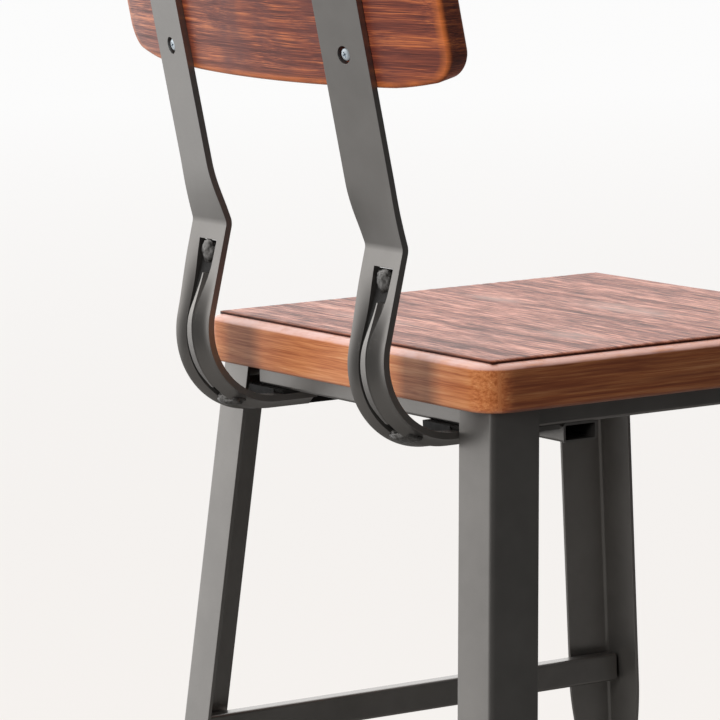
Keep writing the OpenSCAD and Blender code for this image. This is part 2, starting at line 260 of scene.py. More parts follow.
def weld_material(name):
    """Dark, lumpy and half glossy weld metal."""
    mat, nt, bsdf = new_material(name)
    g = Graph(nt)
    p = g.position()
    lump = g.noise(p, 420, 3, 0.6)
    base = g.ramp(lump, [(0.3, (0.07, 0.066, 0.062)), (0.6, (0.17, 0.163, 0.155)),
                         (0.8, (0.30, 0.29, 0.28))])
    g.link(base, bsdf.inputs["Base Color"])
    bsdf.inputs["Metallic"].default_value = 0.85
    g.link(g.range(lump, 0.3, 0.7, 0.25, 0.45), bsdf.inputs["Roughness"])
    g.link(g.bump(lump, 0.5, 0.0008), bsdf.inputs["Normal"])
    return mat


def wood_material(name, colours, patch, worn_and_sheen, scale, pores, gloss, relief_gain, deep=1.0):
    """Brushed and stained softwood. The grain runs along X, and along Y where the end attribute is 1.
    colours run from dark pores to light ridges. The next colour serves for darker stain, painted shadow and
    painted sheen, and the one after it for bare wood and painted sheen; three attributes say where each
    shows, and the third darkens the colour as painted shade. scale is the grain's fineness across and along,
    pores the depth of its dark dashes, and deep its fineness front to back."""
    mat, nt, bsdf = new_material(name)
    g = Graph(nt)
    p = g.position()
    parts = g.separate(p)
    turned = g.node("ShaderNodeCombineXYZ")
    g.link(parts[1], turned.inputs[0])
    g.link(parts[0], turned.inputs[1])
    g.link(parts[2], turned.inputs[2])
    p = g.mix(g.attribute("end"), p, turned.outputs[0])
    wander = g.noise(g.scaled(p, (4.0, 9.0, 9.0)), 1.0, 2, 0.5)
    shift = g.node("ShaderNodeCombineXYZ")
    g.link(g.range(wander, 0, 1, -0.007, 0.007), shift.inputs[1])
    g.link(g.range(wander, 0, 1, 0.005, -0.005), shift.inputs[2])
    bend = g.node("ShaderNodeVectorMath", operation="ADD")
    g.link(g.scaled(p, (1.0, deep, 1.0)), bend.inputs[0])
    g.link(shift.outputs[0], bend.inputs[1])
    q = bend.outputs[0]
    bands = g.noise(g.scaled(q, (1.8, 42.0 * scale[0], 42.0 * scale[0])), 1.0, 4, 0.6)
    dashes = g.noise(g.scaled(q, (34.0 * scale[1], 210.0 * scale[0], 210.0 * scale[0])), 1.0, 3, 0.65)
    hairs = g.noise(g.scaled(q, (60.0 * scale[1], 620.0 * scale[0], 620.0 * scale[0])), 1.0, 2, 0.6)
    tone = g.math("ADD", g.math("MULTIPLY", bands, 0.42), g.math("MULTIPLY", dashes, 0.58))
    tone = g.math("ADD", tone, g.range(hairs, 0.3, 0.7, -0.07, 0.07))
    base = g.ramp(tone, colours)
    dark = g.range(dashes, 0.40, 0.31)
    base = g.mix(g.math("MULTIPLY", dark, pores), base, tuple(0.45 * c for c in colours[0][1]))
    # real stain on the backrest, painted strap shadows on the board, painted sheen on the panel
    cover = g.math("MULTIPLY", g.attribute("patch"), g.range(dashes, 0.35, 0.65, 1.0, 0.55))
    base = g.mix(cover, base, patch)
    scuffs = g.noise(g.scaled(p, (40, 70, 70)), 1.0, 3, 0.6)
    # wear, and on the seat board's rim a painted sheen
    wear = g.math("MULTIPLY", g.attribute("wear"), g.range(scuffs, 0.30, 0.55, 0.4, 1.0))
    base = g.mix(wear, base, worn_and_sheen)
    # painted shade: where this attribute is 1, on the panel's sides, the colour darkens
    base = g.mix(g.attribute("stain"), base, tuple(0.4 * c for c in colours[0][1]))
    g.link(base, bsdf.inputs["Base Color"])
    rough = g.range(tone, 0.35, 0.65, gloss["rough"] + 0.08, gloss["rough"] - 0.08)
    g.link(rough, bsdf.inputs["Roughness"])
    bsdf.inputs["Specular IOR Level"].default_value = gloss["spec"]
    coat = g.math("MULTIPLY", g.range(bands, 0.45, 0.6, 0.6, 1.0), gloss["coat"])
    g.link(coat, bsdf.inputs["Coat Weight"])
    bsdf.inputs["Coat Roughness"].default_value = gloss["coat_rough"]
    small = g.math("ADD", g.math("MULTIPLY", dashes, 0.4), g.math("MULTIPLY", hairs, 0.15))
    relief = g.math("ADD", g.math("MULTIPLY", bands, 0.5), small)
    g.link(g.bump(relief, relief_gain, 0.0016), bsdf.inputs["Normal"])
    return mat


def plain_material(name, base, metallic, rough, scale, spread=0.25, bump=0.08):
    """A small part's material, with uneven colour and gloss at the given noise scale."""
    mat, nt, bsdf = new_material(name)
    g = Graph(nt)
    n = g.noise(g.position(), scale, 4, 0.6)
    dark = tuple(c * (1 - spread) for c in base)
    light = tuple(min(1.0, c * (1 + spread)) for c in base)
    g.link(g.mix(g.range(n, 0.3, 0.7), dark, light), bsdf.inputs["Base Color"])
    bsdf.inputs["Metallic"].default_value = metallic
    g.link(g.range(n, 0.3, 0.7, rough * 0.85, rough * 1.15), bsdf.inputs["Roughness"])
    g.link(g.bump(n, bump, 0.0003), bsdf.inputs["Normal"])
    return mat


STEEL = steel_material("gunmetal_coat")
# painted shade: near-black for the rib's backing and web and for the pads, which lie in shade
PAINTED_SHADE = plain_material("painted_shade_black", (0.020, 0.019, 0.018), 0.3, 0.7, 300)
WELD = weld_material("weld_bead")
ZINC = plain_material("zinc_plate", (0.72, 0.80, 0.86), 0.7, 0.45, 700, 0.12)
PLASTIC = plain_material("black_plastic", (0.022, 0.022, 0.023), 0.0, 0.5, 500)
# panel: the pale patch colour is painted sheen
PANEL_WOOD = wood_material(
    "seat_panel_wood",
    [(0.41, (0.11, 0.020, 0.007)), (0.47, (0.23, 0.050, 0.020)),
     (0.53, (0.34, 0.088, 0.040)), (0.61, (0.60, 0.22, 0.13))],
    (0.70, 0.54, 0.47), (0.36, 0.14, 0.08), (1.5, 0.85), 0.7,
    {"rough": 0.46, "spec": 0.30, "coat": 0.05, "coat_rough": 0.3}, 0.9)
# board: the dark patch colour is end grain and painted strap shadows; the pale pink bare-wood colour is wear,
# and painted sheen on the rim
BOARD_WOOD = wood_material(
    "seat_board_wood",
    [(0.36, (0.44, 0.115, 0.030)), (0.46, (0.58, 0.180, 0.058)),
     (0.56, (0.70, 0.26, 0.090)), (0.68, (0.82, 0.38, 0.17))],
    (0.16, 0.050, 0.030), (0.74, 0.44, 0.38), (2.2, 0.35), 0.10,
    {"rough": 0.42, "spec": 0.35, "coat": 0.15, "coat_rough": 0.25}, 0.12)
BACK_WOOD = wood_material(
    "backrest_wood",
    [(0.39, (0.110, 0.026, 0.018)), (0.47, (0.22, 0.050, 0.028)),
     (0.54, (0.36, 0.085, 0.038)), (0.63, (0.72, 0.21, 0.065))],
    (0.150, 0.044, 0.038), (0.80, 0.22, 0.050), (5.2, 0.40), 0.35,
    {"rough": 0.42, "spec": 0.4, "coat": 0.12, "coat_rough": 0.3}, 0.35, 0.03)


# ------------------------ camera
def place_camera():
    """The photo's camera, as fitted to the picture's edges: close behind the stool's right side."""
    data = bpy.data.cameras.new("camera")
    cam = bpy.data.objects.new("camera", data)
    bpy.context.scene.collection.objects.link(cam)
    data.sensor_width = 36.0
    data.lens = 238.14
    data.clip_start = 0.05
    data.clip_end = 60.0
    right = Vector((-0.54003, -0.84137, -0.02171))
    up = Vector((0.10522, -0.09308, 0.99008))
    back = right.cross(up).normalized()
    up = back.cross(right).normalized()
    turn = Matrix((right, up, back)).transposed().to_4x4()
    place = Vector((-2997.1, 2083.2 + SHIFT_Y, 483.5 + SEAT_H - 6.0)) * MM
    cam.matrix_world = Matrix.Translation(place) @ turn
    bpy.context.scene.camera = cam


place_camera()


# ------------------------ steel: straps
def fillet(points, radii, steps):
    """A polyline in the Y-Z plane with each inner corner rounded to its radius."""
    out = [points[0]]
    for i in range(1, len(points) - 1):
        a, b, c = (np.array(points[k], float) for k in (i - 1, i, i + 1))
        u, v = (a - b) / np.linalg.norm(a - b), (c - b) / np.linalg.norm(c - b)
        half = math.acos(np.clip(u @ v, -1, 1)) / 2
        reach = radii[i - 1] / math.tan(half)
        start, end = b + u * reach, b + v * reach
        centre = b + (u + v) / np.linalg.norm(u + v) * radii[i - 1] / math.sin(half)
        a0 = math.atan2(*(start - centre)[::-1])
        a1 = math.atan2(*(end - centre)[::-1])
        turn = (a1 - a0 + math.pi) % (2 * math.pi) - math.pi
        for k in range(steps + 1):
            t = a0 + turn * k / steps
            out.append(tuple(centre + radii[i - 1] * np.array((math.cos(t), math.sin(t)))))
    out.append(points[-1])
    return out


HOOK_Y = 246.3                          # the tight hook's rearmost reach
TIGHT_R, WIDE_R = 60.0, 66.0            # right and left prong
RAIL_GAP = 3.4                          # between the rear rail and the right prong's upper surface
TIGHT_Z = RAIL_Z - STRAP_T - RAIL_GAP
HOOK_STEP = 11.5                        # the left prong's hook reaches this much lower
WIDE_Z = TIGHT_Z - HOOK_STEP
TIGHT_END, WIDE_END = 150.0, 88.0       # how far to the rear each prong's end lies
TIGHT, WIDE = (TIGHT_R, TIGHT_Z, TIGHT_END), (WIDE_R, WIDE_Z, WIDE_END)


def tangent_down(r, z):
    """Direction of the straight stretch from the kink to a hook of radius r and bottom z."""
    dy, dz = HOOK_Y - r - KINK[0], z + r - KINK[1]
    heading = math.atan2(dz, dy) + math.asin(r / math.hypot(dy, dz))
    return math.cos(heading), math.sin(heading)


DOWN = tangent_down(TIGHT_R, TIGHT_Z)


def hook(r, z, end_y):
    """Rear surface below the slot's top: straight, round the hook, and forward to end_y."""
    steps = 40
    side = (-DOWN[1], DOWN[0])
    # centre on the seat's side of the straight stretch, r away from it, at height z + r
    along = (z + r - KINK[1] + side[1] * r) / DOWN[1]
    start = (KINK[0] + along * DOWN[0], KINK[1] + along * DOWN[1])
    centre = (start[0] - side[0] * r, start[1] - side[1] * r)
    a0 = math.atan2(side[1], side[0])
    pts = []
    for k in range(steps + 1):
        a = a0 + (-math.pi / 2 - a0) * k / steps
        pts.append((centre[0] + r * math.cos(a), centre[1] + r * math.sin(a)))
    pts.append((end_y, z))
    return pts


def densify(path, step):
    out = [path[0]]
    for a, b in zip(path, path[1:]):
        n = max(1, int(math.dist(a, b) / step))
        out += [(a[0] + (b[0] - a[0]) * k / n, a[1] + (b[1] - a[1]) * k / n) for k in range(1, n + 1)]
    return out


def frames(path):
    """Points of a Y-Z path that runs downwards, and its rear normal at each."""
    pts = np.array(path, float)
    tang = np.gradient(pts, axis=0)
    tang /= np.linalg.norm(tang, axis=1)[:, None]
    return pts, np.stack([-tang[:, 1], tang[:, 0]], axis=1)


def smooth(t):
    t = min(1.0, max(0.0, t))
    return t * t * (3 - 2 * t)


SLOT_TOP_Z = KINK[1] - 13.5
FLANK_H = 6.6                           # how far the right prong's inner edge rises beside the rib
SAG, TAPER = 3.6, 3.0                   # how far the left prong's edges sink inside and draw in outside
STRAP_TOP = 215.0                       # strap's length above the bend
BOARD_LIFT = 86.0                       # from the bend up to the backrest's lower edge, along the strap
SCREW_LIFTS = (BOARD_LIFT + 21.0, BOARD_LIFT + 103.0)
SCREW_STEP = 2.7                        # left screws lie this much lower, the right ones higher
HOLE_R = 6.6
TIP_Z = SEAT_H + 42.0                   # top of the rib's face
FULL_Z = SEAT_H + 2.0                   # the rib stands fully out from here down
SLOT_SKEW = {1: 2.5, -1: 4.0}           # the slot's top lies this much to the right
PRONG_COLUMNS = 7


def standing(z):
    """0 above the rib's tip, growing to 1 where the rib stands fully out of the slot."""
    return smooth((TIP_Z + 6 - z) / (TIP_Z + 6 - FULL_Z))


def right_prong(sx, z):
    """Section of the right prong, outer edge first: the face sweeps up into the rib's flank."""
    skew = SLOT_SKEW[sx] * (1 - smooth((SLOT_TOP_Z - z) / 60))
    inner = -SLOT / 2 - skew
    rise = FLANK_H * standing(z)
    out = []
    for k in range(PRONG_COLUMNS):
        t = k / (PRONG_COLUMNS - 1)
        sweep = max(0.0, (t - 0.28) / 0.72) ** 1.3
        out.append((-STRAP_W / 2 + (inner + STRAP_W / 2) * t, rise * sweep))
    return out


def left_prong(sx, z):
    """Section of the left prong, inner edge first: the face rounds off towards the slot."""
    skew = SLOT_SKEW[sx] * (1 - smooth((SLOT_TOP_Z - z) / 60))
    inner = SLOT / 2 - skew
    outer = STRAP_W / 2 - TAPER * smooth((SLOT_TOP_Z - 8 - z) / 50)
    sag = SAG * smooth((SLOT_TOP_Z + 2 - z) / 42)
    out = []
    for k in range(PRONG_COLUMNS):
        t = k / (PRONG_COLUMNS - 1)
        out.append((inner + (outer - inner) * t, -sag * (1 - t) ** 2))
    return out


def section_rows(path, sx, section_of, fan_of=None):
    """Rear and front points of a bar whose section is given as (x, height) at each height z."""
    pts, normal = frames(path)
    rear, front = [], []
    for (y, z), (ny, nz) in zip(pts.tolist(), normal.tolist()):
        f = math.radians(fan_of(z)) if fan_of else 0.0
        n = Vector((-math.sin(f), math.cos(f) * ny, math.cos(f) * nz))
        u = Vector((math.cos(f), math.sin(f) * ny, math.sin(f) * nz))
        c = Vector((sx * STRAP_X, y + SHIFT_Y, z))
        section = section_of(sx, z)
        rear.append([c + x * u + h * n for x, h in section])
        front.append([c + x * u - (STRAP_T + 0.35 * max(0.0, -h)) * n for x, h in section])
    return rear, front


def head_section(sx, _):
    """Section above the slot: flat, with the columns where the prongs' sections have them."""
    left, right = left_prong(sx, SLOT_TOP_Z), right_prong(sx, SLOT_TOP_Z)
    middle = (left[0][0] + right[-1][0]) / 2
    return [(x, 0.0) for x in (*(p[0] for p in right), middle, *(p[0] for p in left))]


def strap(sx, name, node):
    """One strap with its screw holes. Returns where the screws sit, as matrices."""
    up = (math.sin(math.radians(LEAN)), math.cos(math.radians(LEAN)))
    top = (BEND[0] + up[0] * STRAP_TOP, BEND[1] + up[1] * STRAP_TOP)
    slot_along = (SLOT_TOP_Z - KINK[1]) / DOWN[1]
    slot_top = (KINK[0] + slot_along * DOWN[0], SLOT_TOP_Z)
    head = densify(fillet([top, BEND, KINK, slot_top], [220.0, 9.0], 14), 8.0)
    spread = lambda z: -sx * FAN * smooth((z - KINK[1] + 3) / (BEND[1] - KINK[1] + 18))
    rear, front = section_rows(head, sx, head_section, spread)
    verts, faces = [], []

    def add(row):
        verts.extend(p * MM for p in row)
        return list(range(len(verts) - len(row), len(verts)))

    r_rows = [add(r) for r in rear]
    f_rows = [add(r) for r in front]
    last = len(r_rows[0]) - 1

    def skin(rr, ff):
        n = len(rr[0]) - 1
        for i in range(len(rr) - 1):
            for j in range(n):
                faces.append((rr[i][j], rr[i][j + 1], rr[i + 1][j + 1], rr[i + 1][j]))
                faces.append((ff[i][j + 1], ff[i][j], ff[i + 1][j], ff[i + 1][j + 1]))
            for j in (0, n):
                faces.append((rr[i][j], ff[i][j], ff[i + 1][j], rr[i + 1][j]))

    skin(r_rows, f_rows)
    for j in range(last):
        faces.append((r_rows[0][j], f_rows[0][j], f_rows[0][j + 1], r_rows[0][j + 1]))
    m = PRONG_COLUMNS
    for j in (m - 1, m):
        faces.append((r_rows[-1][j], f_rows[-1][j], f_rows[-1][j + 1], r_rows[-1][j + 1]))
    lead = [(slot_top[0] + 2 * DOWN[0], slot_top[1] + 2 * DOWN[1])]
    for j0, section, prong in ((0, right_prong, TIGHT), (m + 1, left_prong, WIDE)):
        path = [slot_top] + densify(lead + hook(*prong), 6.0)
        rr, ff = section_rows(path, sx, section)
        rr = [r_rows[-1][j0:j0 + m]] + [add(x) for x in rr[1:]]
        ff = [f_rows[-1][j0:j0 + m]] + [add(x) for x in ff[1:]]
        skin(rr, ff)
        for j in range(m - 1):
            faces.append((rr[-1][j], ff[-1][j], ff[-1][j + 1], rr[-1][j + 1]))
    obj = piece(name, verts, faces, node, STEEL)
    cutters = []
    lean = Matrix.Rotation(math.radians(-LEAN), 4, "X")
    fan = Matrix.Rotation(math.radians(-sx * FAN), 4, "Z")
    to_rear = Matrix.Rotation(math.radians(-90), 4, "X")
    bend = Vector((sx * STRAP_X, BEND[0] + SHIFT_Y, BEND[1]))
    for lift in SCREW_LIFTS:
        at = bend + lean @ Vector((0, 0, lift - sx * SCREW_STEP))
        cutters.append(Matrix.Translation(at * MM) @ lean @ fan @ to_rear)
    bm = bmesh.new()
    for turn in cutters:
        bmesh.ops.create_cone(bm, cap_ends=True, segments=48, radius1=HOLE_R * MM, radius2=HOLE_R * MM,
                              depth=4 * STRAP_T * MM, matrix=turn)
    mesh = bpy.data.meshes.new("cut")
    bm.to_mesh(mesh)
    bm.free()
    cut = bpy.data.objects.new("cut", mesh)
    bpy.context.scene.collection.objects.link(cut)
    mod = obj.modifiers.new("holes", "BOOLEAN")
    mod.operation = "DIFFERENCE"
    mod.object = cut
    mod.solver = "EXACT"
    bpy.context.view_layer.update()
    apply_modifiers(obj)
    bpy.data.objects.remove(cut)
    bevel(obj, 1.1, 3, 40)
    return cutters


def apply_modifiers(obj):
    dg = bpy.context.evaluated_depsgraph_get()
    dg.update()
    mesh = bpy.data.meshes.new_from_object(obj.evaluated_get(dg))
    obj.modifiers.clear()
    old = obj.data
    obj.data = mesh
    mesh.name = obj.name
    bpy.data.meshes.remove(old)


screw_spots = (strap(1, "strap_left_bar", "back_strap_left")
               + strap(-1, "strap_right_bar", "back_strap_right"))


# ------------------------ steel: rib in each slot
FLOOR = -7.6                            # height of the backing over the strap's rear surface
BACKING_X, BACKING_T = 24.0, 1.9        # its left edge, and its thickness
WEB_T, WEB_ROWS = 1.3, 48
RIB_STEP = 2.5
RIB_END, RIB_FOOT, RIB_FADE = 16, 18, 16    # over the right prong's bottom: end, foot, length of its fading
ARRIS_H = 7.2                           # height of the rib's arris where it stands fully out


def rib_section(sx, z):
    """Section across the slot from its left to its right edge: backing, rib face, hollow flank."""
    s = standing(z)
    foot = smooth((z - TIGHT_Z - RIB_FOOT) / RIB_FADE)
    prong = right_prong(sx, z)[-1]
    end = (prong[0] + 0.1, prong[1] - 0.4)
    arris_x = -5.5 - 6.2 * s
    arris_h = ARRIS_H * s
    width = (2.2 + 6.0 * smooth((TIP_Z - z) / 52)) * (0.5 + 0.5 * foot)
    lens_h = arris_h - 0.06 * width
    if z > TIP_Z or foot == 0:
        width = 0.4
        lens_h = arris_h = FLOOR + 0.2
    left = arris_x + width
    control = (arris_x - 0.5, arris_h - 1.5 - 11.0 * (1 - s) ** 1.2)
    control = (control[0], max(control[1], FLOOR))
    out = [(BACKING_X, FLOOR - BACKING_T), (BACKING_X, FLOOR), (left + 0.5, FLOOR),
           (left, lens_h - 0.5), (left - 0.35, lens_h), (arris_x + 0.3, arris_h)]
    for k in range(1, 8):
        t = k / 7
        a, b, c = (1 - t) ** 2, 2 * t * (1 - t), t * t
        h = a * (arris_h - 0.2) + b * control[1] + c * end[1]
        out.append((a * arris_x + b * control[0] + c * end[0], h if foot > 0 else FLOOR + 0.1))
    out.append((end[0], FLOOR - BACKING_T))
    return out


def rib(sx, name, node):
    """The rib with its backing, and below it the web; backing and web are painted black as shade."""
    along = (SLOT_TOP_Z - 0.3 - KINK[1]) / DOWN[1]
    top = (KINK[0] + along * DOWN[0], SLOT_TOP_Z - 0.3)
    path = densify([top] + hook(*TIGHT)[:-1], RIB_STEP)
    path = [p for p in path if p[1] > TIGHT_Z + RIB_END]
    pts, normal = frames(path)
    verts = []
    for (y, z), (ny, nz) in zip(pts.tolist(), normal.tolist()):
        for x, h in rib_section(sx, z):
            verts.append(Vector((sx * STRAP_X + x, y + ny * h + SHIFT_Y, z + nz * h)) * MM)
    n = len(rib_section(sx, SEAT_H))
    m = len(pts)
    faces = tube(m, n)
    # thin web that closes the slot where the two prongs part
    base = len(verts)
    edges = []
    for prong, x, depth in ((WIDE, SLOT / 2 + 3, STRAP_T + 0.4), (TIGHT, -SLOT / 2 + 0.6, STRAP_T - 0.6)):
        line = densify([top] + hook(*prong)[:-1], RIB_STEP)
        line, out = frames([p for p in line if p[1] > prong[1] + 3.5 + STRAP_T])
        pick = np.linspace(0, len(line) - 1, WEB_ROWS)
        for extra in (0.0, WEB_T):
            y = np.interp(pick, range(len(line)), line[:, 0] - (depth + extra) * out[:, 0]).tolist()
            h = np.interp(pick, range(len(line)), line[:, 1] - (depth + extra) * out[:, 1]).tolist()
            edges.append([Vector((sx * STRAP_X + x, a + SHIFT_Y, b)) * MM for a, b in zip(y, h)])
    for k in range(WEB_ROWS):
        verts += [edges[0][k], edges[2][k], edges[3][k], edges[1][k]]
    solid_faces = len(faces)
    faces += tube(WEB_ROWS, 4, base)
    obj = piece(name, verts, faces, node, STEEL)
    obj.data.materials.append(PAINTED_SHADE)
    # painted shade: the backing, the sides next to it, the end caps and the web are near-black
    for f in obj.data.polygons:
        i = f.index % n if f.index < (m - 1) * n else 0
        if i in (0, 1, 2, n - 2, n - 1) or f.index >= solid_faces:
            f.material_index = 1
    obj.data.set_sharp_from_angle(angle=math.radians(38))


rib(1, "rib_left_bar", "strap_rib_left")
rib(-1, "rib_right_bar", "strap_rib_right")


# ------------------------ steel: pads between rear rail and hooks
PAD_REACH = 90.0                        # the hooks are followed this far forward for the pads


def pad(sx, name, node):
    """Filler under the rear rail, flat on top, its underside on both prongs' inner surfaces. Painted black as
    shade.
    """
    low, high = (v / MM for v in box_of(node))
    step_x = sx * STRAP_X - SLOT / 2
    verts, faces = [], []
    for (r, z, _), x0, x1 in ((TIGHT, low.x + 0.6, step_x), (WIDE, step_x, high.x - 1.0)):
        pts, out = frames(densify(hook(r, z, PAD_REACH), 2.0))
        inner = pts - out * (STRAP_T + 0.2)
        lower = [(float(y) + SHIFT_Y, float(h)) for y, h in inner if low.y < y + SHIFT_Y < high.y]
        section = ([(high.y, high.z - 0.1)] + [(y, min(h, high.z - 0.6)) for y, h in lower]
                   + [(low.y, high.z - 0.1)])
        n, base = len(section), len(verts)
        verts += [Vector((x, y, h)) * MM for x in (x0, x1) for y, h in section]
        faces += [(base + i, base + (i + 1) % n, base + n + (i + 1) % n, base + n + i) for i in range(n)]
        faces += [tuple(range(base, base + n)), tuple(range(base + n, base + 2 * n))]
    bevel(piece(name, verts, faces, node, PAINTED_SHADE, shade_smooth=False), 0.3, 1, 50)


pad(1, "pad_left_block", "strap_pad_left")
pad(-1, "pad_right_block", "strap_pad_right")


# ------------------------ steel: legs
def angle_section(w):
    """Outline of a leg's folded sheet with flanges w wide, from the fold's outer corner."""
    steps = 8
    o = math.radians(OPEN)
    u = np.array((math.cos(o), -math.sin(o)))
    v = np.array((-math.sin(o), math.cos(o)))
    inner = LEG_T + 1.0
    pts = [(w, 0), (w, LEG_T), (inner + 1.4, LEG_T), (inner + 0.3, inner - 0.7), (inner - 0.7, inner + 0.3),
           (LEG_T, inner + 1.4), (LEG_T, w), (0, w)]
    for i in range(steps + 1):
        a = math.pi + math.pi / 2 * i / steps
        pts.append((FOLD_R + FOLD_R * math.cos(a), FOLD_R + FOLD_R * math.sin(a)))
    return [p[0] * u + p[1] * v for p in pts]


NARROW_TOP, NARROW_L = 413, 110         # the flanges narrow from this height, over this length


def flange(z):
    return FLANGE + (FOOT - FLANGE) * smooth((NARROW_TOP - z) / NARROW_L)


def leg(sx, sy, name, node):
    """One folded leg, splayed both ways, its flanges narrowing towards the foot."""
    low, high = box_of(node)
    levels = [high.z / MM] + [NARROW_TOP - NARROW_L * i / 24 for i in range(25)] + [low.z / MM]
    verts = []
    n = len(angle_section(FLANGE))
    for z in levels:
        for p in angle_section(flange(z)):
            verts.append(Vector((sx * (leg_x(z) - p[0]), sy * (leg_y(z) - p[1]) + SHIFT_Y, z)) * MM)
    bevel(piece(name, verts, tube(len(levels), n), node, STEEL), 0.55, 2, 50)


for sx, sy, key in ((1, 1, "rear_leg_left"), (-1, 1, "rear_leg_right"),
                    (1, -1, "front_leg_left"), (-1, -1, "front_leg_right")):
    leg(sx, sy, key + "_angle", key)


# ------------------------ wood: seat board and panel
def ring(half_x, half_y, r, side_steps, corner_steps):
    """Closed outline of a rounded rectangle, as points and their outward directions."""
    out = []
    corners = [(1, 1, 0), (-1, 1, 90), (-1, -1, 180), (1, -1, 270)]
    for k, (cx, cy, a0) in enumerate(corners):
        centre = Vector((cx * (half_x - r), cy * (half_y - r)))
        for i in range(corner_steps + 1):
            a = math.radians(a0 + 90 * i / corner_steps)
            d = Vector((math.cos(a), math.sin(a)))
            out.append((centre + r * d, d))
        nx, ny, _ = corners[(k + 1) % 4]
        nxt = Vector((nx * (half_x - r), ny * (half_y - r)))
        d = Vector((math.cos(math.radians(a0 + 90)), math.sin(math.radians(a0 + 90))))
        for i in range(1, side_steps):
            t = i / side_steps
            out.append(((centre + r * d).lerp(nxt + r * d, t), d))
    return out


def float_attributes(mesh, **lists):
    """Gives the mesh one number per vertex under each name, for the wood materials to read."""
    for name, values in lists.items():
        layer = mesh.attributes.new(name, "FLOAT", "POINT")
        layer.data.foreach_set("value", [float(v) for v in values])


STRAP_SHADOWS_X, STRAP_SHADOW_REACH = (140, -96), 24  # painted shadows of the straps: dark patches on the board's rear and front faces


def seat_board():
    """The thick board: straight sides, a small round below and a gently arched rim above."""
    half_x, half_y, r = SEAT_W / 2, SEAT_D / 2, 25.0
    t = RIM_Z - UNDER_Z
    drop, side = 3.2, 10.0              # the rim's fall and width
    under_r, ease, inner = 2.6, 1.6, 60.0   # lower edge's round, inset below the rim, inset of the flat faces
    rim_r = (side * side + drop * drop) / (2 * drop)
    profile = [(inner, 0.0), (under_r, 0.0)]    # (inset, height)
    for i in range(1, 6):
        a = math.radians(-90 + 18 * i)
        profile.append((under_r - under_r * math.cos(a), under_r + under_r * math.sin(a)))
    for h in np.linspace(6.0, t - drop - 2.2, 9):
        profile.append((0.0, h))
    # small round at the meeting of the side and the rim, then the rim's own arc
    arc = t - rim_r + math.sqrt(rim_r ** 2 - (side - ease) ** 2)
    for i in range(7):
        s = i / 6
        profile.append((ease * s * s, (1 - s) * (t - drop - 1.4) + s * arc))
    for i in range(1, 9):
        inset = ease + (side - ease + 1.0) * i / 8
        profile.append((inset, t - rim_r + math.sqrt(max(0, rim_r ** 2 - max(0, side - inset) ** 2))))
    profile.append((inner, t))
    outline = ring(half_x, half_y, r, 60, 14)
    verts, wear, patch, stain, end = [], [], [], [], []
    n = len(outline)
    for inset, h in profile:
        for p, d in outline:
            if inset == inner:
                q = Vector((p.x * (half_x - inset) / half_x, p.y * (half_y - inset) / half_y))
            else:
                q = p - d * inset
            wob = 0.25 * noise.noise(Vector((p.x * 0.03, p.y * 0.03, h * 0.15)))
            pull = 0.15 + wob * 0.4
            verts.append(Vector((q.x - d.x * pull, q.y + SHIFT_Y - d.y * pull, UNDER_Z + h)) * MM)
            # painted sheen: the rim's band takes the pale pink bare-wood colour; near the lower edge it is
            # wear
            rim = 0.9 * smooth((h - (t - drop - 1.2)) / 1.4)
            wear.append(max(rim, 0.3 * smooth((3.5 - h) / 3.5)))
            # painted shadow: the straps' shadows as dark patches on the faces; the end faces are darker as
            # end grain
            spot = 0.4 * max(math.exp(-((p.x - at) / STRAP_SHADOW_REACH) ** 2) for at in STRAP_SHADOWS_X)
            spot *= 0.75 + 0.5 * noise.noise(Vector((p.x * 0.02, 0.0, h * 0.06)))
            on_face = abs(d.y) ** 2
            cover = min(1.0, 0.85 * spot * on_face + 0.72 * abs(d.x) ** 6 * (1 - on_face))
            patch.append(cover * (1.0 if h < t - drop + 0.5 else 0.1))
            stain.append(0.0)
            end.append(1.0 if abs(d.x) > 0.86 and inset < 3 else 0.0)
    obj = piece("seat_board_wood", verts, tube(len(profile), n), "seat_board", BOARD_WOOD)
    float_attributes(obj.data, wear=wear, patch=patch, stain=stain, end=end)


# painted sheen: pale patches on the panel: x, y, reach in x and y
SHEEN_SPOTS = ((-120, 60, 38, 12), (60, 120, 45, 9), (-20, -60, 50, 14), (100, -20, 30, 8))


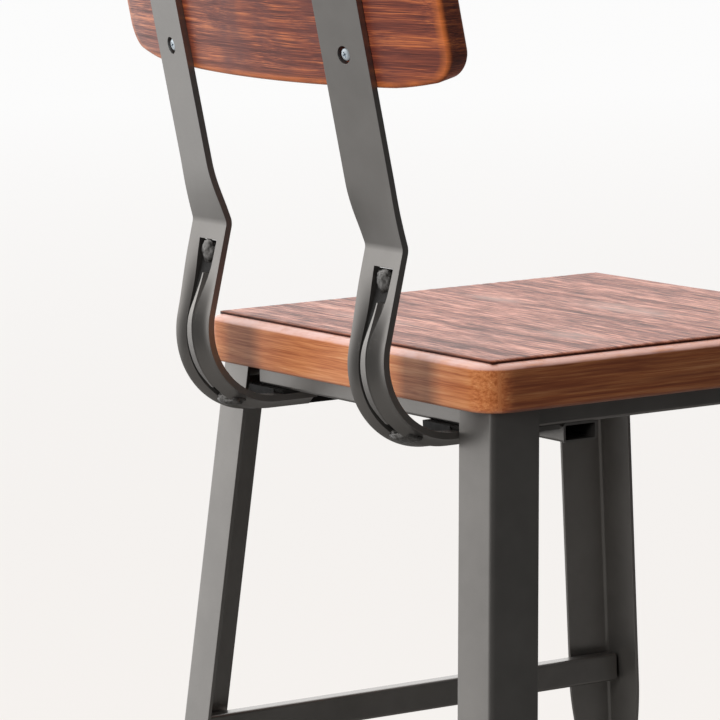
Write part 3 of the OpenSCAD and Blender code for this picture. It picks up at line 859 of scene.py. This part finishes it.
def seat_panel():
    """The raised panel: a brushed top with low growth-ring ridges and pale patches of painted sheen, and its
    sides painted dark as shade.
    """
    hx, hy = (panel_high.x - panel_low.x) / 2 - 0.1, (panel_high.y - panel_low.y) / 2 - 0.1
    top = SEAT_H - 0.35
    nx, ny = 96, 230
    verts, faces, stain, wear, patch = [], [], [], [], []
    xs = np.linspace(-hx, hx, nx)
    ys = np.linspace(-hy, hy, ny)

    def relief(x, y):
        bend = 5.0 * noise.noise(Vector((x * 0.006, y * 0.012, 3.1)))
        return (0.22 * noise.noise(Vector((x * 0.010, (y + bend) * 0.16, 0.0)))
                + 0.10 * noise.noise(Vector((x * 0.02, (y + bend) * 0.45, 7.0))))

    for y in ys:
        for x in xs:
            edge = min(hx - abs(x), hy - abs(y))
            round_ = 0.7 * (1 - min(1.0, edge / 0.9)) ** 2
            verts.append(Vector((x, y + SHIFT_Y, top + relief(x, y) - round_)) * MM)
            stain.append(0.0)
            wear.append(0.6 * math.exp(-(edge / 1.6) ** 2))
            # painted sheen in pale patches
            pale = sum(math.exp(-(((x - cx) / rx) ** 2 + ((y - cy) / ry) ** 2))
                       for cx, cy, rx, ry in SHEEN_SPOTS)
            patch.append(min(1.0, 0.55 * pale * (0.7 + 0.6 * noise.noise(Vector((x * 0.02, y * 0.09, 1.0))))))
    for j in range(ny - 1):
        for i in range(nx - 1):
            a = j * nx + i
            faces.append((a, a + 1, a + nx + 1, a + nx))
    # the top's outline, going round once, from which the sides hang
    loop = ([i for i in range(nx)] + [j * nx + nx - 1 for j in range(1, ny)]
            + [(ny - 1) * nx + i for i in range(nx - 2, -1, -1)] + [j * nx for j in range(ny - 2, 0, -1)])
    base = len(verts)
    for k in range(3):
        for i in loop:
            p = verts[i].copy()
            p.z = (SEAT_H - 1.3, SEAT_H - 1.6, panel_low.z - 0.3)[k] * MM
            verts.append(p)
            # painted shade: the sides below the top row are darkened
            stain.append(0.0 if k == 0 else 1.0)
            wear.append(0.5 if k == 0 else 0.0)
            patch.append(0.0)
    m = len(loop)
    for i in range(m):
        j = (i + 1) % m
        faces.append((loop[i], base + i, base + j, loop[j]))
        for k in range(2):
            upper, lower = base + k * m, base + (k + 1) * m
            faces.append((upper + i, lower + i, lower + j, upper + j))
    faces.append(tuple(range(base + 2 * m, base + 3 * m)))
    obj = piece("seat_panel_wood", verts, faces, "seat_panel", PANEL_WOOD)
    float_attributes(obj.data, wear=wear, patch=patch, stain=stain)


seat_board()
seat_panel()


# ------------------------ wood: backrest
def backrest():
    """The curved board: a rounded rectangle bent along X, with both arrises rounded."""
    back_r, width, height, thick, corner = 910.0, 445.5, 150.0, 21.0, 19.0
    sag = back_r - math.sqrt(back_r ** 2 - STRAP_X ** 2)
    rear = sag - STRAP_T
    edge_r = 3.2
    lean = Matrix.Rotation(math.radians(-LEAN), 3, "X")
    origin = Vector((0, BEND[0] + SHIFT_Y, BEND[1]))
    half_x, half_z = width / 2, height / 2

    def out_of_plan(x, depth):
        """Point on the curved board: depth behind its rear surface, x along the chord."""
        a = math.asin(x / back_r)
        rad = back_r - depth
        return rad * math.sin(a), rear - back_r + rad * math.cos(a)

    outline = ring(half_x, half_z, corner, 40, 16)
    layers = []                         # (inset, depth)
    for i in range(7):
        a = math.pi / 2 * i / 6
        layers.append((edge_r * (1 - math.sin(a)), edge_r * (1 - math.cos(a))))
    for d in np.linspace(edge_r + 1, thick - edge_r - 1, 5):
        layers.append((0.0, d))
    for i in range(6, -1, -1):
        a = math.pi / 2 * i / 6
        layers.append((edge_r * (1 - math.sin(a)), thick - edge_r * (1 - math.cos(a))))
    verts, wear, patch, stain = [], [], [], []
    n = len(outline)

    def put(x, z, depth, w):
        px, py = out_of_plan(x, depth)
        # lower edge drawn up towards the ends, more at the left; ends drawn in towards the corners
        down = smooth(-z / half_z)
        low = down * (4.5 * max(0.0, (abs(x) - 160) / 45) ** 1.5 + 2.3 * x / half_x - 0.4)
        x *= 1 - 0.021 * (z / half_z) ** 4
        local = Vector((px, py, BOARD_LIFT + half_z + z + low))
        verts.append((origin + lean @ local) * MM)
        wear.append(w)
        blocks = (noise.noise(Vector((x * 0.028, z * 0.012, 5.0)))
                  + 0.5 * noise.noise(Vector((x * 0.09, z * 0.05, 9.0))))
        cover = (0.42 + 1.3 * blocks) * (1 - 0.7 * smooth((-x - 120) / 70))
        patch.append(min(1.0, max(0.0, cover)) * (1 - 0.8 * w))
        stain.append(0.0)

    for inset, depth in layers:
        w = math.exp(-(min(abs(depth), abs(thick - depth)) / 2.6) ** 2)
        for p, d in outline:
            q = p - d * inset
            put(q.x, q.y, depth, 0.6 * w)
    faces = tube(len(layers), n, caps=False)
    # rear and front faces: rings shrinking to the middle line
    for side, start in ((0.0, 0), (thick, (len(layers) - 1) * n)):
        previous = list(range(start, start + n))
        for step in (0.96, 0.90, 0.82, 0.72, 0.60, 0.45, 0.28, 0.12, 0.02):
            base = len(verts)
            for p, d in outline:
                q = p - d * edge_r
                x = q.x * (0.25 + 0.75 * step) if step > 0.3 else q.x * (0.475 * (step / 0.3))
                z = q.y * step
                gap = min(half_x - abs(x), half_z - abs(z))
                put(x, z, side, 0.35 * math.exp(-((gap - edge_r) / 2.5) ** 2) if gap < 20 else 0.0)
            now = list(range(base, base + n))
            for i in range(n):
                j = (i + 1) % n
                faces.append((previous[i], previous[j], now[j], now[i]))
            previous = now
        faces.append(tuple(previous))
    obj = piece("backrest_wood_board", verts, faces, "backrest_board", BACK_WOOD)
    float_attributes(obj.data, wear=wear, patch=patch, stain=stain)


backrest()


# ------------------------ screws
def screw_heads(spots):
    """Pan heads with a cross recess, sunk in the straps' holes."""
    head_r, head_h, seg = 4.7, 4.1, 48
    profile = [(0.0, head_h), (2.6, head_h - 0.05), (3.7, head_h - 0.3), (4.4, head_h - 0.8),
               (head_r, head_h - 1.5), (head_r, 0.0), (2.0, -0.2), (2.0, -14.0), (0.0, -17.0)]
    body = bmesh.new()
    cutters = bmesh.new()
    for m in spots:
        m = m @ Matrix.Translation((0, 0, -STRAP_T * MM))
        rings = []
        for r, z in profile:
            if r == 0:
                rings.append([body.verts.new(m @ Vector((0, 0, z * MM)))])
            else:
                rings.append([body.verts.new(m @ (Vector((r * math.cos(a), r * math.sin(a), z)) * MM))
                              for a in (2 * math.pi * i / seg for i in range(seg))])
        for a, b in zip(rings, rings[1:]):
            for i in range(seg):
                j = (i + 1) % seg
                if len(a) == 1:
                    body.faces.new((a[0], b[i], b[j]))
                elif len(b) == 1:
                    body.faces.new((a[i], b[0], a[j]))
                else:
                    body.faces.new((a[i], b[i], b[j], a[j]))
        raised = Matrix.Translation((0, 0, (head_h - 0.3) * MM))
        bar = Matrix.Diagonal((4.4 * MM, 1.1 * MM, 2.6 * MM, 1))
        for turn in (20, 110):
            spin = Matrix.Rotation(math.radians(turn), 4, "Z")
            bmesh.ops.create_cube(cutters, size=1.0, matrix=m @ spin @ raised @ bar)
    bmesh.ops.recalc_face_normals(body, faces=body.faces)
    mesh = bpy.data.meshes.new("backrest_screw_heads")
    body.to_mesh(mesh)
    body.free()
    mesh.materials.append(ZINC)
    mesh.polygons.foreach_set("use_smooth", [True] * len(mesh.polygons))
    obj = bpy.data.objects.new("backrest_screw_heads", mesh)
    bpy.context.scene.collection.objects.link(obj)
    cm = bpy.data.meshes.new("cross")
    cutters.to_mesh(cm)
    cutters.free()
    cut = bpy.data.objects.new("cross", cm)
    bpy.context.scene.collection.objects.link(cut)
    mod = obj.modifiers.new("cross", "BOOLEAN")
    mod.operation, mod.object, mod.solver = "DIFFERENCE", cut, "EXACT"
    mod.use_self = True
    bpy.context.view_layer.update()
    apply_modifiers(obj)
    bpy.data.objects.remove(cut)
    obj.data.set_sharp_from_angle(angle=math.radians(40))
    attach(obj, "root")
    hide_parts("backrest_screws")


screw_heads(screw_spots)


# ------------------------ welds
def bead(name, path, radius, seed, lumps):
    """A weld bead: an uneven rope along a path of points in millimetres."""
    rng = random.Random(seed)
    pts = [Vector(p) for p in path]
    dense = []
    for a, b in zip(pts, pts[1:]):
        n = max(2, int((b - a).length / 1.0))
        dense += [a.lerp(b, k / n) for k in range(n)]
    dense.append(pts[-1])
    verts, seg = [], 12
    total = len(dense)
    for k, p in enumerate(dense):
        t = (dense[min(k + 1, total - 1)] - dense[max(k - 1, 0)]).normalized()
        side = t.orthogonal().normalized()
        other = t.cross(side)
        cap = math.sqrt(max(0.02, 1 - (2 * k / (total - 1) - 1) ** 8))
        ripple = 1 + 0.16 * lumps * math.sin(k * 1.9 + seed) + 0.10 * lumps * (rng.random() - 0.5)
        for i in range(seg):
            a = 2 * math.pi * i / seg
            wob = 1 + 0.18 * lumps * noise.noise(p * 0.45 + Vector((seed, i * 0.2, 0)))
            verts.append((p + (side * math.cos(a) + other * math.sin(a)) * radius * cap * ripple * wob) * MM)
    piece(name, verts, tube(total, seg), None, WELD)


def strap_point(sx, x, y, z):
    return (sx * STRAP_X + x, y + SHIFT_Y, z)


def on_path(r, z, end, target_z, depth):
    """Point of a hook's rear surface at height target_z on its way down, moved in by depth."""
    path = densify([(KINK[0], KINK[1])] + hook(r, z, end), 1.0)
    pts, normal = frames(path)
    k = int(np.argmin(np.abs(pts[:, 1] - target_z) + (pts[:, 0] < 180) * 1000))
    return pts[k][0] - normal[k][0] * depth, pts[k][1] - normal[k][1] * depth


def blob(name, centre, size, seed, roughness):
    """A lumpy weld pool."""
    bm = bmesh.new()
    bmesh.ops.create_icosphere(bm, subdivisions=4, radius=1.0)
    for v in bm.verts:
        d = v.co.normalized()
        k = (1 + roughness * noise.noise(d * 1.7 + Vector((seed, 0, 0)))
             + 0.5 * roughness * noise.noise(d * 4.3 + Vector((0, seed, 0))))
        v.co = Vector((d.x * size[0], d.y * size[1], d.z * size[2])) * k
    verts = [(v.co + Vector(centre)) * MM for v in bm.verts]
    faces = [tuple(v.index for v in f.verts) for f in bm.faces]
    bm.free()
    piece(name, verts, faces, None, WELD)


for sx, side in ((1, "left"), (-1, "right")):
    y, z = on_path(*TIGHT, SLOT_TOP_Z - 9.5, 4.0)
    blob(f"slot_weld_{side}", strap_point(sx, -SLOT_SKEW[sx] + 0.6, y, z), (9.6, 4.2, 9.2), 3 + sx, 0.22)
    y1, z1 = on_path(*TIGHT, TIGHT_Z + 5.0, 1.0)
    y2, z2 = on_path(*WIDE, WIDE_Z + 10.5, 1.5)
    middle = strap_point(sx, -3.0, (y1 + y2) / 2 + 1.0, (z1 + z2) / 2 + 0.5)
    blob(f"hook_weld_{side}", middle, (16.0, 9.5, 6.0), 11 + sx, 0.16)

rail_low, rail_high = (v / MM for v in box_of("rear_rail"))
corner = (rail_low.x + 0.5, rail_high.y + 0.1)
bead("rail_weld_rear", [(*corner, rail_low.z + 1), (*corner, rail_high.z - 1)], 1.3, 5, 0.35)


# ------------------------ carried-over CAD nodes
BY_SLOT = {"frame_steel": STEEL, "zinc": ZINC, "plastic": PLASTIC, "seat_wood": BOARD_WOOD,
           "backrest_wood": BACK_WOOD}
for name, obj in frame["nodes"].items():
    slot = next(s["material_slot"] for s in frame["record"]["subparts"] if s["node"] == name)
    obj.data.materials.clear()
    obj.data.materials.append(BY_SLOT[slot])


# ------------------------ floor, light and world
def stage():
    """A pale floor. To reflections it is painted a dim grey near the stool, standing in for the stool's
    shade, and clear further out; to the camera its glow is painted darker and warmer near the stool.
    """
    mesh = bpy.data.meshes.new("floor")
    half, z = 30.0, -0.0005             # just under the feet
    mesh.from_pydata([(-half, -half, z), (half, -half, z), (half, half, z), (-half, half, z)],
                     [], [(0, 1, 2, 3)])
    floor = bpy.data.objects.new("floor", mesh)
    bpy.context.scene.collection.objects.link(floor)
    mat = bpy.data.materials.new("studio_floor")
    mat.use_nodes = True
    nt = mat.node_tree
    nt.nodes.clear()
    g = Graph(nt)
    out = g.node("ShaderNodeOutputMaterial")
    path = g.node("ShaderNodeLightPath")
    far = g.node("ShaderNodeVectorMath", operation="LENGTH")
    g.link(g.position(), far.inputs[0])
    reach = far.outputs["Value"]
    seen = g.node("ShaderNodeAddShader")
    paint = g.node("ShaderNodeBsdfDiffuse")
    paint.inputs["Color"].default_value = (0.16, 0.158, 0.155, 1)
    glow = g.node("ShaderNodeEmission")
    # painted shade: the glow is darker and warmer near the stool, brightening out to 11 m
    tone = g.mix(g.range(reach, 2.0, 11.0), (0.775, 0.745, 0.72), (0.865, 0.865, 0.865))
    g.link(tone, glow.inputs["Color"])
    # painted shade: to reflections the floor near the stool is a dim grey
    dim = g.node("ShaderNodeBsdfDiffuse")
    dim.inputs["Color"].default_value = (0.22, 0.215, 0.21, 1)
    clear = g.node("ShaderNodeBsdfTransparent")
    away = g.node("ShaderNodeMixShader")
    g.link(g.range(reach, 1.2, 2.6), away.inputs[0])
    g.link(dim.outputs[0], away.inputs[1])
    g.link(clear.outputs[0], away.inputs[2])
    mix = g.node("ShaderNodeMixShader")
    g.link(paint.outputs[0], seen.inputs[0])
    g.link(glow.outputs[0], seen.inputs[1])
    g.link(path.outputs["Is Camera Ray"], mix.inputs[0])
    g.link(away.outputs[0], mix.inputs[1])
    g.link(seen.outputs[0], mix.inputs[2])
    g.link(mix.outputs[0], out.inputs["Surface"])
    mesh.materials.append(mat)


def world():
    """White to the camera. To everything else a grey sky, brighter towards +X and upwards."""
    w = bpy.data.worlds.new("studio")
    bpy.context.scene.world = w
    w.use_nodes = True
    nt = w.node_tree
    nt.nodes.clear()
    g = Graph(nt)
    out = g.node("ShaderNodeOutputWorld")
    d = g.node("ShaderNodeTexCoord").outputs["Generated"]
    dot = g.node("ShaderNodeVectorMath", operation="DOT_PRODUCT")
    g.link(d, dot.inputs[0])
    dot.inputs[1].default_value = Vector((0.99, -0.06, 0.10)).normalized()
    level = g.ramp(g.range(dot.outputs["Value"], -1.0, 1.0),
                   [(0.0, 0.045), (0.34, 0.055), (0.55, 0.19), (0.75, 0.50), (0.95, 0.95), (1.0, 1.0)])
    height = g.separate(d)[2]
    rise = g.ramp(g.range(height, -0.3, 0.6), [(0.0, 0.56), (0.33, 0.84), (0.55, 1.08), (1.0, 1.3)])
    level = g.mix(1.0, level, rise, "MULTIPLY")
    sky = g.node("ShaderNodeBackground")
    g.link(level, sky.inputs["Color"])
    sky.inputs["Strength"].default_value = 1.75
    white = g.node("ShaderNodeBackground")
    white.inputs["Color"].default_value = (0.945, 0.94, 0.935, 1)
    path = g.node("ShaderNodeLightPath")
    mix = g.node("ShaderNodeMixShader")
    g.link(path.outputs["Is Camera Ray"], mix.inputs[0])
    g.link(sky.outputs[0], mix.inputs[1])
    g.link(white.outputs[0], mix.inputs[2])
    g.link(mix.outputs[0], out.inputs["Surface"])


def area(name, where, target, size, power, colour=(1, 1, 1)):
    data = bpy.data.lights.new(name, "AREA")
    data.shape = "RECTANGLE"
    data.size, data.size_y = size
    data.energy = power
    data.color = colour
    lamp = bpy.data.objects.new(name, data)
    bpy.context.scene.collection.objects.link(lamp)
    lamp.location = where
    lamp.rotation_euler = (Vector(target) - Vector(where)).to_track_quat("-Z", "Y").to_euler()
    lamp.visible_glossy = False


stage()
world()
area("key", (-1.15, 3.35, 1.9), (0, 0, 0.8), (1.3, 1.3), 72, (1.0, 0.985, 0.96))
area("top", (0.5, 0.0, 3.0), (0, 0, 0.7), (2.0, 2.0), 26)
bpy.context.scene.view_settings.view_transform = "Standard"
